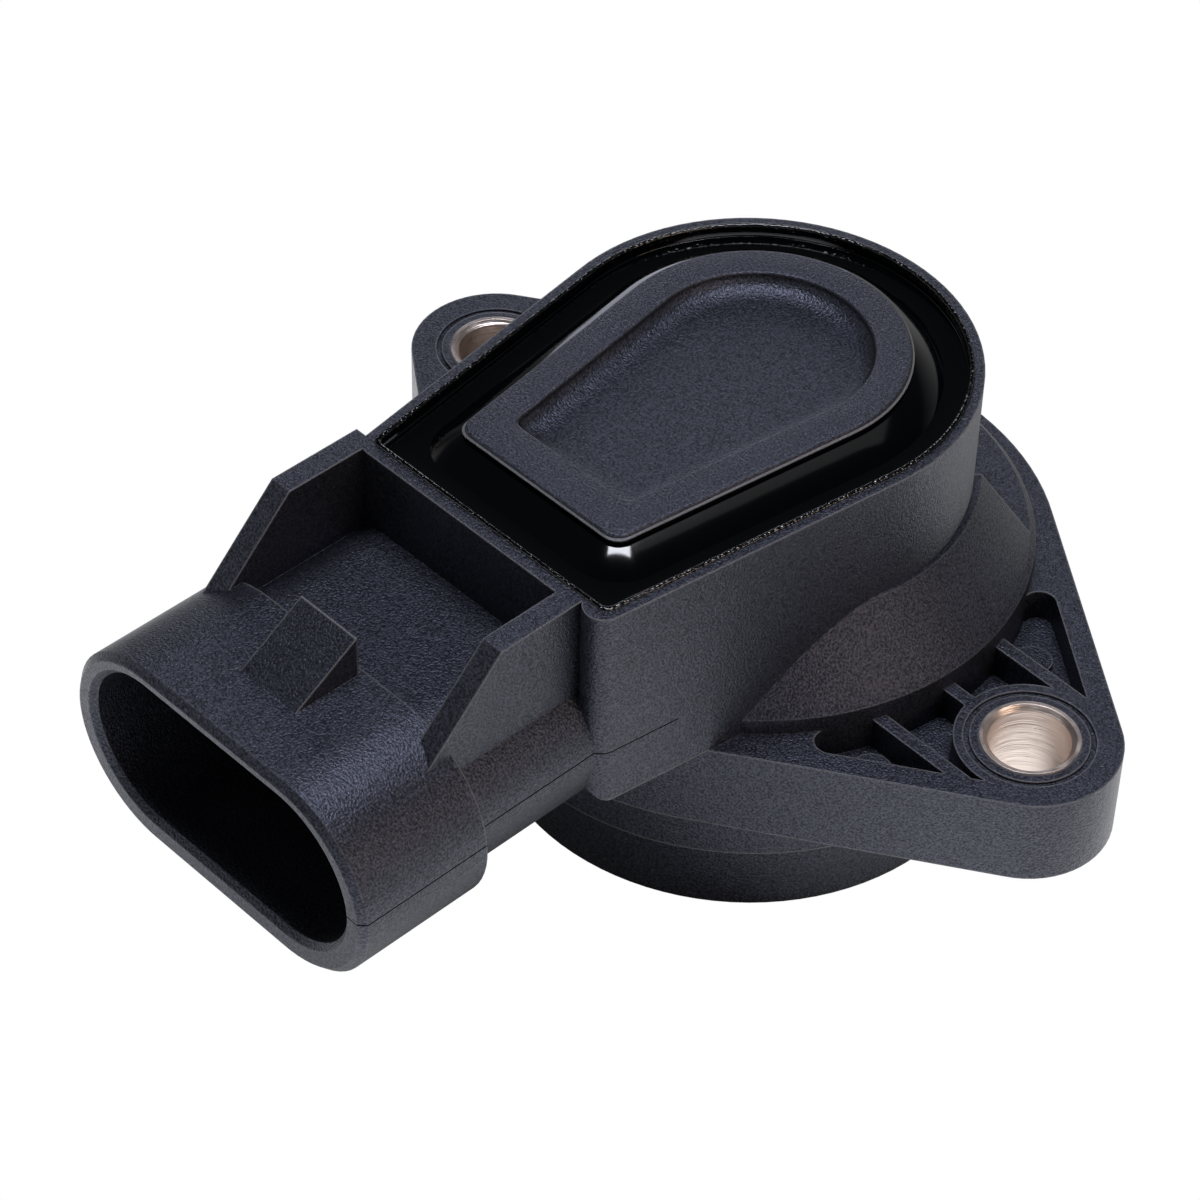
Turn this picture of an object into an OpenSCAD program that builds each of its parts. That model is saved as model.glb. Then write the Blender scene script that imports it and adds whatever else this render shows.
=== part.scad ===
// Throttle position sensor with a potted case, a two ear flange and a three way plug shroud.
// The origin is on the rotor axis in the plane of the flange's mounting face. +Z points to the cover
// and the plug points to -Y.

/* [Flange] */
// Distance between the two mounting holes
bolt_spacing = 49.5; // [48:0.5:54]
// Radius of the round middle of the flange
flange_r = 19.9; // [19.6:0.1:21]
// Thickness of the flange
flange_t = 6.4; // [5:0.1:8]
// Radius of the round ear ends
ear_r = 5.8; // [5.5:0.1:6.5]
// Depth of the lightening pockets in the ears
pocket_depth = 2.3; // [1:0.1:3.5]
// Wall left between the pockets and the edge of the flange
pocket_wall = 1.55; // [1.2:0.05:1.8]
// Radius of the solid ring round each bushing
ear_ring_r = 4.75; // [4.6:0.05:5]
// Thickness of the ribs in the pockets
rib_t = 0.95; // [0.6:0.05:1.2]
// Distance between the ribs
rib_pitch = 5.2; // [4.8:0.1:5.6]
// How far the middle rib lies off the line of the mounting holes
rib_shift = -0.45; // [-0.6:0.05:0]
// Radius of the round ends of the pockets
pocket_end_r = 1.05; // [0.8:0.05:1.2]
// Radius of the ejector pads in the pockets
pad_r = 1.25; // [0.6:0.05:1.3]
// Height of the ejector pads
pad_h = 0.4; // [0.2:0.1:0.8]

/* [Bushings] */
// Outer radius of the compression bushings
bushing_r = 3.15; // [3.1:0.05:3.5]
// Radius of the bolt hole
bolt_hole_r = 2.6; // [2.2:0.05:2.8]
// How far the bushings stand proud of the flange
bushing_proud = 0.1; // [0:0.05:0.4]
// Chamfer on the ends of the bushings
bushing_chamfer = 0.3; // [0.1:0.05:0.4]
// Inner radius of the shallow groove round each bushing
ear_groove_r = 3.75; // [3.6:0.05:4]
// Width of the shallow groove round each bushing
ear_groove_w = 0.35; // [0.2:0.05:0.6]
// Depth of the shallow groove round each bushing
ear_groove_depth = 0.2; // [0.1:0.05:0.5]

/* [Boss] */
// Radius of the round boss on the flange
boss_r = 18.3; // [17.5:0.1:19]
// Height of the upright foot of the boss
boss_foot_h = 1.6; // [1:0.1:3]
// Height of the sloping part of the boss
boss_slope_h = 4.7; // [3:0.1:6]
// Radius of the boss where its slope meets the case
boss_top_r = 14.4; // [14.2:0.1:15]
// Angle from +X at which the sloping part ends
boss_slope_end = 42; // [30:1:60]
// Chamfer on the edge of the foot
boss_chamfer = 0.4; // [0.2:0.1:0.8]

/* [Spigot] */
// Radius of the step under the flange
step_r = 18.3; // [17.5:0.1:19]
// Height of the step under the flange
step_h = 4.3; // [3:0.1:6]
// Radius of the round spigot
spigot_r = 16.9; // [16:0.1:17.4]
// Length of the spigot from the mounting face
spigot_len = 10.6; // [9:0.2:14]
// Wall of the spigot
spigot_wall = 2.2; // [1.6:0.1:3]
// Chamfer on the end of the spigot
spigot_chamfer = 0.2; // [0.1:0.1:0.8]
// Height of the roof of the well inside the spigot
well_roof_z = 4; // [2:0.5:5]

/* [Case] */
// Angle of the case and the plug to the square of the line of mounting holes
case_turn = 1.4; // [-3:0.1:3]
// Radius of the round back of the case
case_r = 14; // [13.8:0.1:14.2]
// Sideways offset of the case from the rotor axis
case_x = 0.2; // [-0.2:0.1:0.4]
// Offset of the round back of the case towards the plug
case_y = -0.4; // [-0.5:0.1:0.2]
// Distance from the rotor axis to the front of the case
case_front = 24.2; // [23.6:0.1:26]
// Width of the case across its front
case_front_w = 21.8; // [21:0.1:23]
// Radius of the front corners of the case
case_corner_r = 1.3; // [0.8:0.1:2]
// Radius of the lower front edge of the case
case_edge_r = 1.2; // [0.6:0.1:2]
// Radius of the corners inside the rim
rim_corner_r = 0.6; // [0.4:0.1:1]
// Height of the rim above the mounting face
case_top = 21.5; // [21:0.1:24]
// Thickness of the rim
rim_t = 0.8; // [0.7:0.05:1.1]
// Thickness of the rim across the front
rim_front_t = 1; // [0.8:0.1:1.3]
// Depth from the rim to the seat of the cover
seat_depth = 3.9; // [3.6:0.1:4.2]
// Radius of the round chamber for the rotor
chamber_r = 11.4; // [11.3:0.1:12]
// Height of the chamber floor
chamber_floor_z = 8.4; // [8:0.1:8.6]
// Width of the bay for the contacts
bay_w = 16.6; // [15:0.1:17.5]
// Distance from the rotor axis to the front wall of the bay
bay_front = 20.5; // [19.8:0.1:21]
// Height of the bay floor
bay_floor_z = 12.2; // [11.8:0.1:13]

/* [Cover] */
// Thickness of the cover plate
plate_t = 1.8; // [1.4:0.1:2]
// Gap between the cover plate and the rim
cover_gap = 0.1; // [0.05:0.05:0.2]
// Distance from the outside of the case to the raised island
island_inset = 4.4; // [4:0.1:5]
// Height of the island above the rim
island_proud = 1; // [0.5:0.1:1.5]
// Radius of the front corners of the island
island_corner_r = 1.2; // [0.6:0.1:2]
// Width of the band round the sunken panel
panel_band = 2.45; // [2:0.05:3]
// Width of the band in front of the sunken panel
panel_band_front = 3.3; // [2.5:0.1:4]
// Depth of the sunken panel
panel_depth = 1.1; // [0.4:0.1:1.3]
// Radius of the front corners of the sunken panel
panel_corner_r = 0.8; // [0.4:0.1:1.2]
// Depth from the rim to the sealant
potting_depth = 0.8; // [0.5:0.1:1.4]

/* [Plug] */
// Sideways position of the plug
plug_x = -1.4; // [-1.8:0.1:0]
// Height of the middle of the plug
plug_z = 9.95; // [9.6:0.05:10.2]
// Distance from the rotor axis to the mouth of the shroud
mouth_dist = 43.4; // [42:0.1:46]
// Width of the shroud
shroud_w = 26.2; // [25:0.1:27]
// Height of the shroud
shroud_h = 14.2; // [13.6:0.1:14.6]
// Length of the full size part of the shroud
shroud_len = 9.65; // [9:0.05:11]
// How much smaller the neck is all round
neck_inset = 1.2; // [1:0.1:1.4]
// Width of the socket
socket_w = 22.7; // [22:0.1:23.4]
// Height of the socket
socket_h = 11; // [10.4:0.1:11.4]
// How far the socket lies above the middle of the shroud
socket_rise = 0.35; // [0:0.05:0.5]
// Depth of the full size part of the socket
socket_depth = 8.2; // [7:0.1:8.4]
// How much smaller the rear well of the socket is all round
well_inset = 1.2; // [1:0.1:1.6]
// Depth of the whole socket
socket_full_depth = 13; // [12:0.1:14]
// Width of the bevel round the outside of the mouth
lip_outside = 0.45; // [0.1:0.05:0.6]
// Width of the bevel round the inside of the mouth
lip_inside = 0.4; // [0.1:0.05:0.6]
// How far the neck reaches under the case
neck_reach = 10.2; // [8:0.1:12]

/* [Latch ramp] */
// Width of the latch ramp
ramp_w = 4.9; // [4:0.1:6]
// Height of the latch ramp above the shroud
ramp_h = 2.95; // [2:0.05:3.5]
// Length of the latch ramp
ramp_len = 4.8; // [3.5:0.1:6]
// Distance from the latch ramp to the rear edge of the shroud
ramp_setback = 0.45; // [0:0.05:1]

/* [Gutter] */
// Clear width between the two side plates
gutter_w = 17; // [15:0.1:18]
// Thickness of the side plates
side_plate_t = 1.6; // [1.2:0.1:2]
// Length of the level top of the side plates in front of the case
side_plate_level = 5.7; // [4:0.1:7]

/* [Terminals] */
// Distance between the blades
blade_pitch = 5.1; // [4.8:0.1:5.4]
// Width of the blades
blade_w = 1.5; // [1.2:0.1:2]
// Thickness of the blades
blade_t = 0.8; // [0.6:0.05:1]
// Distance from the mouth to the blade tips
blade_recess = 4.2; // [3:0.1:5]
// Bevel on the blade tips
blade_bevel = 0.2; // [0.1:0.05:0.3]
// Distance from the rotor axis to the upright posts
post_dist = 17.4; // [17:0.1:18]
// Height of the contact springs
contact_h = 2.3; // [2:0.1:2.6]
// Thickness of the contact springs
contact_t = 0.25; // [0.2:0.05:0.3]
// Length of the contact springs
contact_len = 3.4; // [3:0.1:3.8]

/* [Element board] */
// Thickness of the board
board_t = 0.8; // [0.6:0.1:1]
// Gap between the board and the chamber wall
board_gap = 0.8; // [0.5:0.1:1]
// Radius of the hole in the board
board_hole_r = 4.9; // [4.7:0.1:5.2]
// Thickness of the printed tracks
track_t = 0.1; // [0.05:0.05:0.15]
// Middle radius of the inner track
track_in_r = 6.95; // [6.8:0.05:7.2]
// Middle radius of the outer track
track_out_r = 9.05; // [8.8:0.05:9.2]
// Width of each track
track_w = 1.5; // [1:0.1:1.6]

/* [Rotor] */
// Radius of the rotor disc
disc_r = 10.6; // [10.4:0.1:10.7]
// Thickness of the rotor disc
disc_t = 1.6; // [1.2:0.1:2]
// Height of the underside of the rotor disc
disc_z = 12.6; // [12.4:0.1:12.8]
// Radius of the shoulder under the disc
shoulder_r = 6.8; // [6.5:0.1:7]
// Radius of the rotor's hub
hub_r = 5.5; // [5.2:0.05:5.6]
// Length of the hub below the mounting face
hub_drop = 5.5; // [5:0.1:6]
// Radial running gap round the hub
hub_gap = 0.08; // [0.05:0.01:0.1]
// Radius of the pivot pin on the rotor
pivot_r = 1.6; // [1.4:0.05:1.8]
// Length of the pivot pin above the disc
pivot_len = 4.8; // [4.4:0.1:5]
// Radial running gap round the pivot pin
pivot_gap = 0.05; // [0.03:0.01:0.1]
// Travel of the rotor in degrees
travel = 100; // [90:1:110]
// Width of the stop lug in degrees
lug_angle = 10; // [8:1:14]
// Height of the running gaps above and below the rotor
end_gap = 0.1; // [0.05:0.05:0.15]
// Outer radius of the collar round the hub
collar_r = 8; // [7.8:0.1:8.4]
// Length of the collar below the mounting face
collar_drop = 2; // [1.5:0.1:2.5]

/* [Drive] */
// Length of the drive slot
slot_l = 7.2; // [6.6:0.1:7.4]
// Width of the drive slot
slot_w = 2.6; // [2.2:0.1:2.8]
// Depth of the drive slot
slot_depth = 7.7; // [6:0.1:8]
// Wall of the steel liner in the slot
liner_t = 0.6; // [0.4:0.05:0.7]

/* [Springs and seals] */
// Wire diameter of the return spring
wire_d = 0.9; // [0.7:0.05:1]
// Mean radius of the return spring
coil_r = 8.4; // [8:0.1:8.6]
// Turns of the return spring
coil_turns = 2.75; // [2.25:0.5:2.75]
// Length of the fixed leg of the return spring
fixed_leg = 5; // [4:0.1:5.5]
// Length of the moving leg of the return spring
moving_leg = 3.4; // [3:0.1:3.8]
// Radial thickness of the hub seal
seal_w = 1.3; // [1:0.1:1.4]
// Height of the hub seal
seal_h = 2; // [1.6:0.1:2.1]
// Thickness of the thrust washer
thrust_t = 0.5; // [0.4:0.05:0.6]
// Thickness of the preload washer
preload_t = 0.3; // [0.2:0.05:0.4]
// Outer radius of the preload washer
preload_r = 4.2; // [4:0.1:4.4]
// Width of the seats of the preload washer
preload_seat = 0.3; // [0.2:0.05:0.4]
// Height of the preload washer
preload_h = 1.3; // [1.1:0.1:1.5]

/* [Hidden] */

// Fineness of the curves
round_fn = 96;
small_fn = 48;
// How far a cut runs past a face
cut = 0.5;
// How far straight sides lie inside the arcs that they run into, so that the two cross cleanly
tuck = 0.004;

// Colours
plastic = [0.17, 0.175, 0.2];
sealant = [0.01, 0.015, 0.03];
brass = [0.72, 0.58, 0.42];
steel = [0.6, 0.6, 0.62];
bronze = [0.75, 0.55, 0.35];
ceramic = [0.85, 0.84, 0.8];
rubber = [0.08, 0.08, 0.08];
white_plastic = [0.85, 0.85, 0.82];

// Heights and places that follow from the sizes above
ear_x = bolt_spacing / 2;
ear_tangent = acos((flange_r - ear_r) / ear_x);
foot_top_z = flange_t + boss_foot_h;
seat_z = case_top - seat_depth;
plate_top_z = seat_z + plate_t;
island_top_z = case_top + island_proud;
potting_z = case_top - potting_depth;
board_z = seat_z - board_t;
track_z = board_z - track_t;
disc_top_z = disc_z + disc_t;
post_top_z = track_z - contact_h;
cover_boss_r = board_hole_r - 0.5;
cover_boss_z = disc_top_z + end_gap + preload_h;
pivot_hole_top_z = disc_top_z + pivot_len + end_gap + 0.1;
shroud_back = mouth_dist - shroud_len;
socket_z = plug_z + socket_rise;
neck_w = shroud_w - 2 * neck_inset;
neck_h = shroud_h - 2 * neck_inset;
neck_top_z = plug_z + neck_h / 2;
shroud_top_z = plug_z + shroud_h / 2;
plate_slope = case_top - plug_z - 4.4;
seal_r = hub_r + 0.15 + seal_w;
rest_angle = 90;
stop_w = 12;
stop_gap = 0.4;
lug_r = chamber_r - 0.3;
stop_r = disc_r + 0.2;

// Direction of the outward normal of the tapering sides of the case
corner_x = case_front_w / 2 - case_corner_r;
corner_y = -case_front - case_y + case_corner_r;
side_normal = atan2(corner_y, corner_x) + acos((case_r - case_corner_r) / norm([corner_x, corner_y]));

// Round backed outline of the case, moved inwards by inset and at its front by front_inset
module case_outline(inset = 0, front_inset = 0, corner = case_corner_r) {
    r = case_r - inset;
    c = cos(side_normal);
    s = sin(side_normal);
    y = -case_front - case_y + front_inset + corner;
    x = (r - corner - s * y) / c;
    translate([case_x, case_y]) {
        circle(r = r, $fn = round_fn);
        m = r - tuck;
        k = corner - tuck;
        polygon([[m * c, m * s], [-m * c, m * s], [-x - k * c, y + k * s], [-x, y],
                 [-x, y - k], [x, y - k], [x, y], [x + k * c, y + k * s]]);
        for (side = [-1, 1]) translate([side * x, y]) circle(r = corner, $fn = small_fn);
    }
}

// Outside of the case, with its rounded lower front edge and a notch beside the right side plate
module case_body() difference() {
    translate([0, 0, flange_t]) linear_extrude(case_top - flange_t) case_outline();
    front = -case_front;
    plate_out = plug_x + gutter_w / 2 + side_plate_t;
    across(2 * case_front_w) difference() {
        translate([front - cut, flange_t - cut]) square([case_edge_r + cut, case_edge_r + cut]);
        translate([front + case_edge_r, flange_t + case_edge_r]) circle(r = case_edge_r, $fn = small_fn);
    }
    translate([case_x, case_y, flange_t - cut]) linear_extrude(case_top - flange_t + 2 * cut) difference() {
        translate([plate_out - case_x, front - case_y - cut])
            square([case_x + corner_x - plate_out, case_corner_r + cut]);
        translate([corner_x, corner_y]) circle(r = case_corner_r, $fn = small_fn);
    }
}

// Turns the case and all that lines up with the plug
module turned() rotate([0, 0, case_turn]) children();

// Outline of the flange
module flange_outline() {
    c = cos(ear_tangent);
    s = sin(ear_tangent);
    circle(r = flange_r, $fn = round_fn);
    for (side = [-1, 1]) translate([side * ear_x, 0]) circle(r = ear_r, $fn = small_fn);
    m = flange_r - tuck;
    k = ear_r - tuck;
    polygon([[ear_x + k * c, -k * s], [ear_x + k * c, k * s], [m * c, m * s], [-m * c, m * s],
             [-ear_x - k * c, k * s], [-ear_x - k * c, -k * s], [-m * c, -m * s], [m * c, -m * s]]);
}

// Flat sided shape with fully round ends
module stadium(w, h) {
    for (side = [-1, 1]) translate([side * (w - h) / 2, 0]) circle(d = h, $fn = round_fn);
    square([w - h, h - 2 * tuck], center = true);
}

// Stadium that runs along Y from y0 to y1, with its middle at height z
module plug_bar(w, h, z, y0, y1) {
    translate([plug_x, y1, z]) rotate([90, 0, 0]) linear_extrude(y1 - y0) stadium(w, h);
}

// Stadium at y0 that tapers to y1, where it is smaller by inset all round
module plug_bevel(w, h, z, y0, y1, inset) {
    d = abs(y1 - y0);
    translate([plug_x, y0, z]) rotate([y1 < y0 ? 90 : -90, 0, 0]) {
        for (side = [-1, 1]) translate([side * (w - h) / 2, 0, 0])
            cylinder(r1 = h / 2, r2 = h / 2 - inset, h = d, $fn = round_fn);
        half = h / 2 - tuck;
        rotate([90, 0, 90]) translate([0, 0, -(w - h) / 2]) linear_extrude(w - h)
            polygon([[-half, 0], [half, 0], [half - inset, d], [-half + inset, d]]);
    }
}

// Shape drawn in the YZ plane and given a width along X
module across(w) {
    translate([-w / 2, 0, 0]) rotate([90, 0, 90]) linear_extrude(w) children();
}

// Lightening pockets of one ear
module pocket_plan() {
    wall_r = flange_r - pocket_wall;
    end_dist = boss_r + 0.95 * pocket_end_r;
    end_angle = ear_tangent - acos((wall_r - pocket_end_r) / end_dist);
    normal = [cos(ear_tangent), sin(ear_tangent)];
    end = end_dist * [cos(end_angle), sin(end_angle)];
    foot = boss_r * [cos(end_angle), sin(end_angle)];
    shoulder = end + (pocket_end_r - tuck) * normal;
    tip = [ear_x, 0] + (ear_r - pocket_wall - tuck) * normal;
    difference() {
        union() {
            polygon([foot, [foot[0], -foot[1]], [shoulder[0], -shoulder[1]], [tip[0], -tip[1]],
                     tip, shoulder]);
            for (side = [-1, 1]) translate([end[0], side * end[1]]) circle(r = pocket_end_r, $fn = small_fn);
        }
        circle(r = boss_r, $fn = round_fn);
        translate([ear_x, 0]) circle(r = ear_ring_r, $fn = small_fn);
        for (i = [-1:1]) translate([boss_r / 2, rib_shift + i * rib_pitch - rib_t / 2])
            square([ear_x, rib_t]);
    }
}

// What is cut out of one ear, and the pad left in it
module ear_cuts() {
    floor_z = flange_t - pocket_depth;
    difference() {
        translate([0, 0, floor_z]) linear_extrude(pocket_depth + cut) pocket_plan();
        for (side = [-1, 1])
            translate([boss_r + 0.6, rib_shift + side * (rib_pitch + rib_t / 2 + pad_r + 0.3), floor_z])
                cylinder(r = pad_r, h = pad_h, $fn = 32);
    }
    translate([ear_x, 0, -cut]) cylinder(r = bushing_r, h = flange_t + 2 * cut, $fn = small_fn);
    translate([ear_x, 0, flange_t - ear_groove_depth]) rotate_extrude($fn = small_fn)
        translate([ear_groove_r, 0]) square([ear_groove_w, ear_groove_depth + cut]);
}

// Side plate of the gutter in side view
module side_plate_outline() {
    slope = plate_slope;
    level_y = -case_front - side_plate_level;
    polygon([[-case_front + 1, plug_z], [-case_front + 1, case_top], [level_y, case_top],
             [level_y - slope, case_top - slope], [level_y - slope, plug_z + 2], [-shroud_back, plug_z]]);
}

module gutter_sides() {
    for (side = [-1, 1])
        translate([plug_x + side * (gutter_w + side_plate_t) / 2, 0, 0])
            across(side_plate_t) side_plate_outline();
}

module latch_ramp() {
    back_y = -shroud_back - ramp_setback;
    translate([plug_x, 0, 0]) across(ramp_w)
        polygon([[back_y, shroud_top_z - 0.6], [back_y, shroud_top_z + ramp_h],
                 [back_y - ramp_len, shroud_top_z], [back_y - ramp_len, shroud_top_z - 0.6]]);
}

// Round boss on the flange
module boss() {
    rotate_extrude($fn = round_fn)
        polygon([[0, flange_t - 1], [boss_r, flange_t - 1], [boss_r, foot_top_z - boss_chamfer],
                 [boss_r - boss_chamfer, foot_top_z], [0, foot_top_z]]);
}

// Sloping part of the boss, all round the front
module boss_slope() {
    rotate([0, 0, 180 - boss_slope_end]) rotate_extrude(angle = 180 + 2 * boss_slope_end, $fn = round_fn)
        polygon([[chamber_r - 1, foot_top_z - 1], [boss_r - boss_chamfer, foot_top_z - 1],
                 [boss_r - boss_chamfer, foot_top_z], [boss_top_r, foot_top_z + boss_slope_h],
                 [chamber_r - 1, foot_top_z + boss_slope_h]]);
}

// Stepped round spigot that enters the throttle body
module spigot() {
    rotate_extrude($fn = round_fn)
        polygon([[0, 0.5], [step_r, 0.5], [step_r, -step_h], [spigot_r, -step_h],
                 [spigot_r, -spigot_len + spigot_chamfer], [spigot_r - spigot_chamfer, -spigot_len],
                 [0, -spigot_len]]);
}

// Well inside the spigot, round the collar that carries the rotor, with the collar's bores
module spigot_well() {
    well_r = spigot_r - spigot_wall;
    rotate_extrude($fn = round_fn)
        polygon([[0, -spigot_len - cut], [well_r, -spigot_len - cut], [well_r, well_roof_z],
                 [collar_r, well_roof_z], [collar_r, -collar_drop], [0, -collar_drop]]);
    translate([0, 0, -collar_drop - cut])
        cylinder(r = hub_r + hub_gap, h = chamber_floor_z + collar_drop + 2 * cut, $fn = round_fn);
    translate([0, 0, -collar_drop - cut]) cylinder(r = seal_r, h = seal_h + cut, $fn = round_fn);
}

// Chamber for the rotor and bay for the contacts, under the recess for the cover
module case_inside() {
    turned() translate([0, 0, seat_z]) linear_extrude(seat_depth + cut)
        case_outline(rim_t, rim_front_t, rim_corner_r);
    difference() {
        translate([0, 0, chamber_floor_z])
            cylinder(r = chamber_r, h = seat_z - chamber_floor_z + cut, $fn = round_fn);
        rotor_stop(rest_angle - lug_angle / 2 - stop_gap - stop_w);
        rotor_stop(rest_angle + travel + lug_angle / 2 + stop_gap);
        spring_anchor();
    }
    turned() translate([plug_x - bay_w / 2, -bay_front, bay_floor_z])
        cube([bay_w, bay_front - 0.65 * chamber_r, seat_z - bay_floor_z + cut]);
}

// Stop block on the chamber wall, which starts at the angle given
module rotor_stop(from) {
    translate([0, 0, disc_z - 0.2]) rotate([0, 0, from]) rotate_extrude(angle = stop_w, $fn = round_fn)
        translate([stop_r, 0]) square([chamber_r - stop_r + 1, disc_t + 0.4]);
}

// Block on the chamber wall that the fixed leg of the return spring bears on
module spring_anchor() {
    translate([coil_r + wire_d / 2 + 0.05, -fixed_leg, chamber_floor_z - 1])
        cube([chamber_r - coil_r, 2, 1 + wire_d + 0.8]);
}

module housing() color(plastic) difference() {
    union() {
        linear_extrude(flange_t) flange_outline();
        boss();
        spigot();
        turned() {
            boss_slope();
            case_body();
            plug_bar(neck_w, neck_h, plug_z, -shroud_back - 1, -case_front + neck_reach);
            plug_bar(shroud_w, shroud_h, plug_z, -mouth_dist + lip_outside, -shroud_back);
            plug_bevel(shroud_w, shroud_h, plug_z, -mouth_dist + lip_outside, -mouth_dist, lip_outside);
            gutter_sides();
            latch_ramp();
        }
    }
    for (turn = [0, 180]) rotate([0, 0, turn]) ear_cuts();
    spigot_well();
    case_inside();
    turned() socket();
    for (i = [-1:1]) terminal(i);
}

// Socket in the shroud, with its flared mouth and its smaller rear well
module socket() {
    plug_bar(socket_w, socket_h, socket_z, -mouth_dist - cut, -mouth_dist + socket_depth);
    plug_bar(socket_w - 2 * well_inset, socket_h - 2 * well_inset, socket_z, -mouth_dist,
             -mouth_dist + socket_full_depth);
    flare = lip_inside + cut;
    plug_bevel(socket_w + 2 * flare, socket_h + 2 * flare, socket_z, -mouth_dist - cut,
               -mouth_dist + lip_inside, flare);
}

module cover() color(plastic) turned() difference() {
    union() {
        translate([0, 0, seat_z]) linear_extrude(plate_t)
            case_outline(rim_t + cover_gap, rim_front_t + cover_gap, rim_corner_r - cover_gap);
        translate([0, 0, seat_z]) linear_extrude(island_top_z - seat_z)
            case_outline(island_inset, island_inset, island_corner_r);
        translate([0, 0, cover_boss_z])
            cylinder(r = cover_boss_r, h = seat_z - cover_boss_z + 0.5, $fn = small_fn);
    }
    translate([0, 0, island_top_z - panel_depth]) linear_extrude(panel_depth + cut)
        case_outline(island_inset + panel_band, island_inset + panel_band_front, panel_corner_r);
    translate([0, 0, cover_boss_z - cut])
        cylinder(r = pivot_r + pivot_gap, h = pivot_hole_top_z - cover_boss_z + cut, $fn = small_fn);
}

module potting() color(sealant) turned() difference() {
    translate([0, 0, plate_top_z]) linear_extrude(potting_z - plate_top_z)
        case_outline(rim_t, rim_front_t, rim_corner_r);
    translate([0, 0, plate_top_z - cut]) linear_extrude(potting_z - plate_top_z + 2 * cut)
        case_outline(island_inset, island_inset, island_corner_r);
}

module bushing(side) color(brass) translate([side * ear_x, 0, 0]) rotate_extrude($fn = small_fn) {
    top = flange_t + bushing_proud;
    c = bushing_chamfer;
    polygon([[bolt_hole_r, c], [bolt_hole_r + c, 0], [bushing_r, 0], [bushing_r, top],
             [bolt_hole_r + c, top], [bolt_hole_r, top - c]]);
}

// Blade in the socket and post in the bay, bent from one strip
module terminal(i) color(bronze) turned() translate([plug_x + i * blade_pitch, 0, 0]) across(blade_w) {
    tip = -mouth_dist + blade_recess;
    low = socket_z - blade_t / 2;
    high = socket_z + blade_t / 2;
    b = blade_bevel;
    polygon([[tip, low + b], [tip + 2 * b, low], [-post_dist, low], [-post_dist, post_top_z],
             [-post_dist - blade_t, post_top_z], [-post_dist - blade_t, high],
             [tip + 2 * b, high], [tip, high - b]]);
}

// Folded spring strip between the post and the board
module contact(i) color(bronze) turned() translate([plug_x + i * blade_pitch, 0, 0]) across(blade_w) {
    h = track_z - post_top_z;
    translate([-post_dist - blade_t / 2, post_top_z + h / 2]) difference() {
        stadium(contact_len, h);
        stadium(contact_len - 2 * contact_t, h - 2 * contact_t);
        translate([0, -h / 2 + contact_t]) square([contact_len, h - 2 * contact_t]);
    }
}

module element_board() color(ceramic) turned() {
    r = chamber_r - board_gap;
    difference() {
        union() {
            translate([0, 0, board_z]) cylinder(r = r, h = board_t, $fn = round_fn);
            translate([plug_x - bay_w / 2 + board_gap / 2, -bay_front + board_gap, board_z])
                cube([bay_w - board_gap, bay_front - board_gap - board_hole_r, board_t]);
        }
        translate([0, 0, board_z - cut]) cylinder(r = board_hole_r, h = board_t + 2 * cut, $fn = small_fn);
    }
    for (track_r = [track_in_r, track_out_r])
        translate([0, 0, track_z]) rotate([0, 0, rest_angle - 20])
            rotate_extrude(angle = travel + 40, $fn = round_fn)
                translate([track_r - track_w / 2, 0]) square([track_w, track_t]);
    for (i = [-1:1]) translate([plug_x + i * blade_pitch, -post_dist - blade_t / 2, track_z + track_t / 2])
        cube([blade_w + 0.8, contact_len - 0.6, track_t], center = true);
}

module rotor() color(plastic) difference() {
    union() {
        rotate_extrude($fn = round_fn) {
            shoulder_z = chamber_floor_z + thrust_t + end_gap;
            polygon([[0, -hub_drop], [hub_r - 0.4, -hub_drop], [hub_r, -hub_drop + 0.4], [hub_r, shoulder_z],
                     [shoulder_r, shoulder_z], [shoulder_r, disc_z], [disc_r, disc_z], [disc_r, disc_top_z],
                     [pivot_r, disc_top_z], [pivot_r, disc_top_z + pivot_len - 0.3],
                     [pivot_r - 0.3, disc_top_z + pivot_len], [0, disc_top_z + pivot_len]]);
        }
        translate([0, 0, disc_z]) rotate([0, 0, rest_angle - lug_angle / 2])
            rotate_extrude(angle = lug_angle, $fn = round_fn)
                translate([disc_r - 1, 0]) square([lug_r - disc_r + 1, disc_t]);
        spring_lug();
    }
    drive_liner_outside();
}

// Lug under the disc that pushes the moving leg of the return spring
module spring_lug() {
    rotate([0, 0, coil_end]) translate([coil_r + wire_d / 2 + 0.05, moving_leg - 1.2, disc_z - wire_d - 0.5])
        cube([1.1, 1.4, wire_d + 1]);
}

module drive_liner_outside() {
    l = slot_l + 2 * liner_t;
    w = slot_w + 2 * liner_t;
    translate([-l / 2, -w / 2, -hub_drop - cut]) cube([l, w, slot_depth + liner_t + cut]);
}

module drive_insert() color(steel) difference() {
    l = slot_l + 2 * liner_t;
    w = slot_w + 2 * liner_t;
    translate([-l / 2, -w / 2, -hub_drop]) cube([l, w, slot_depth + liner_t]);
    translate([-slot_l / 2, -slot_w / 2, -hub_drop - cut]) cube([slot_l, slot_w, slot_depth + cut]);
}

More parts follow.
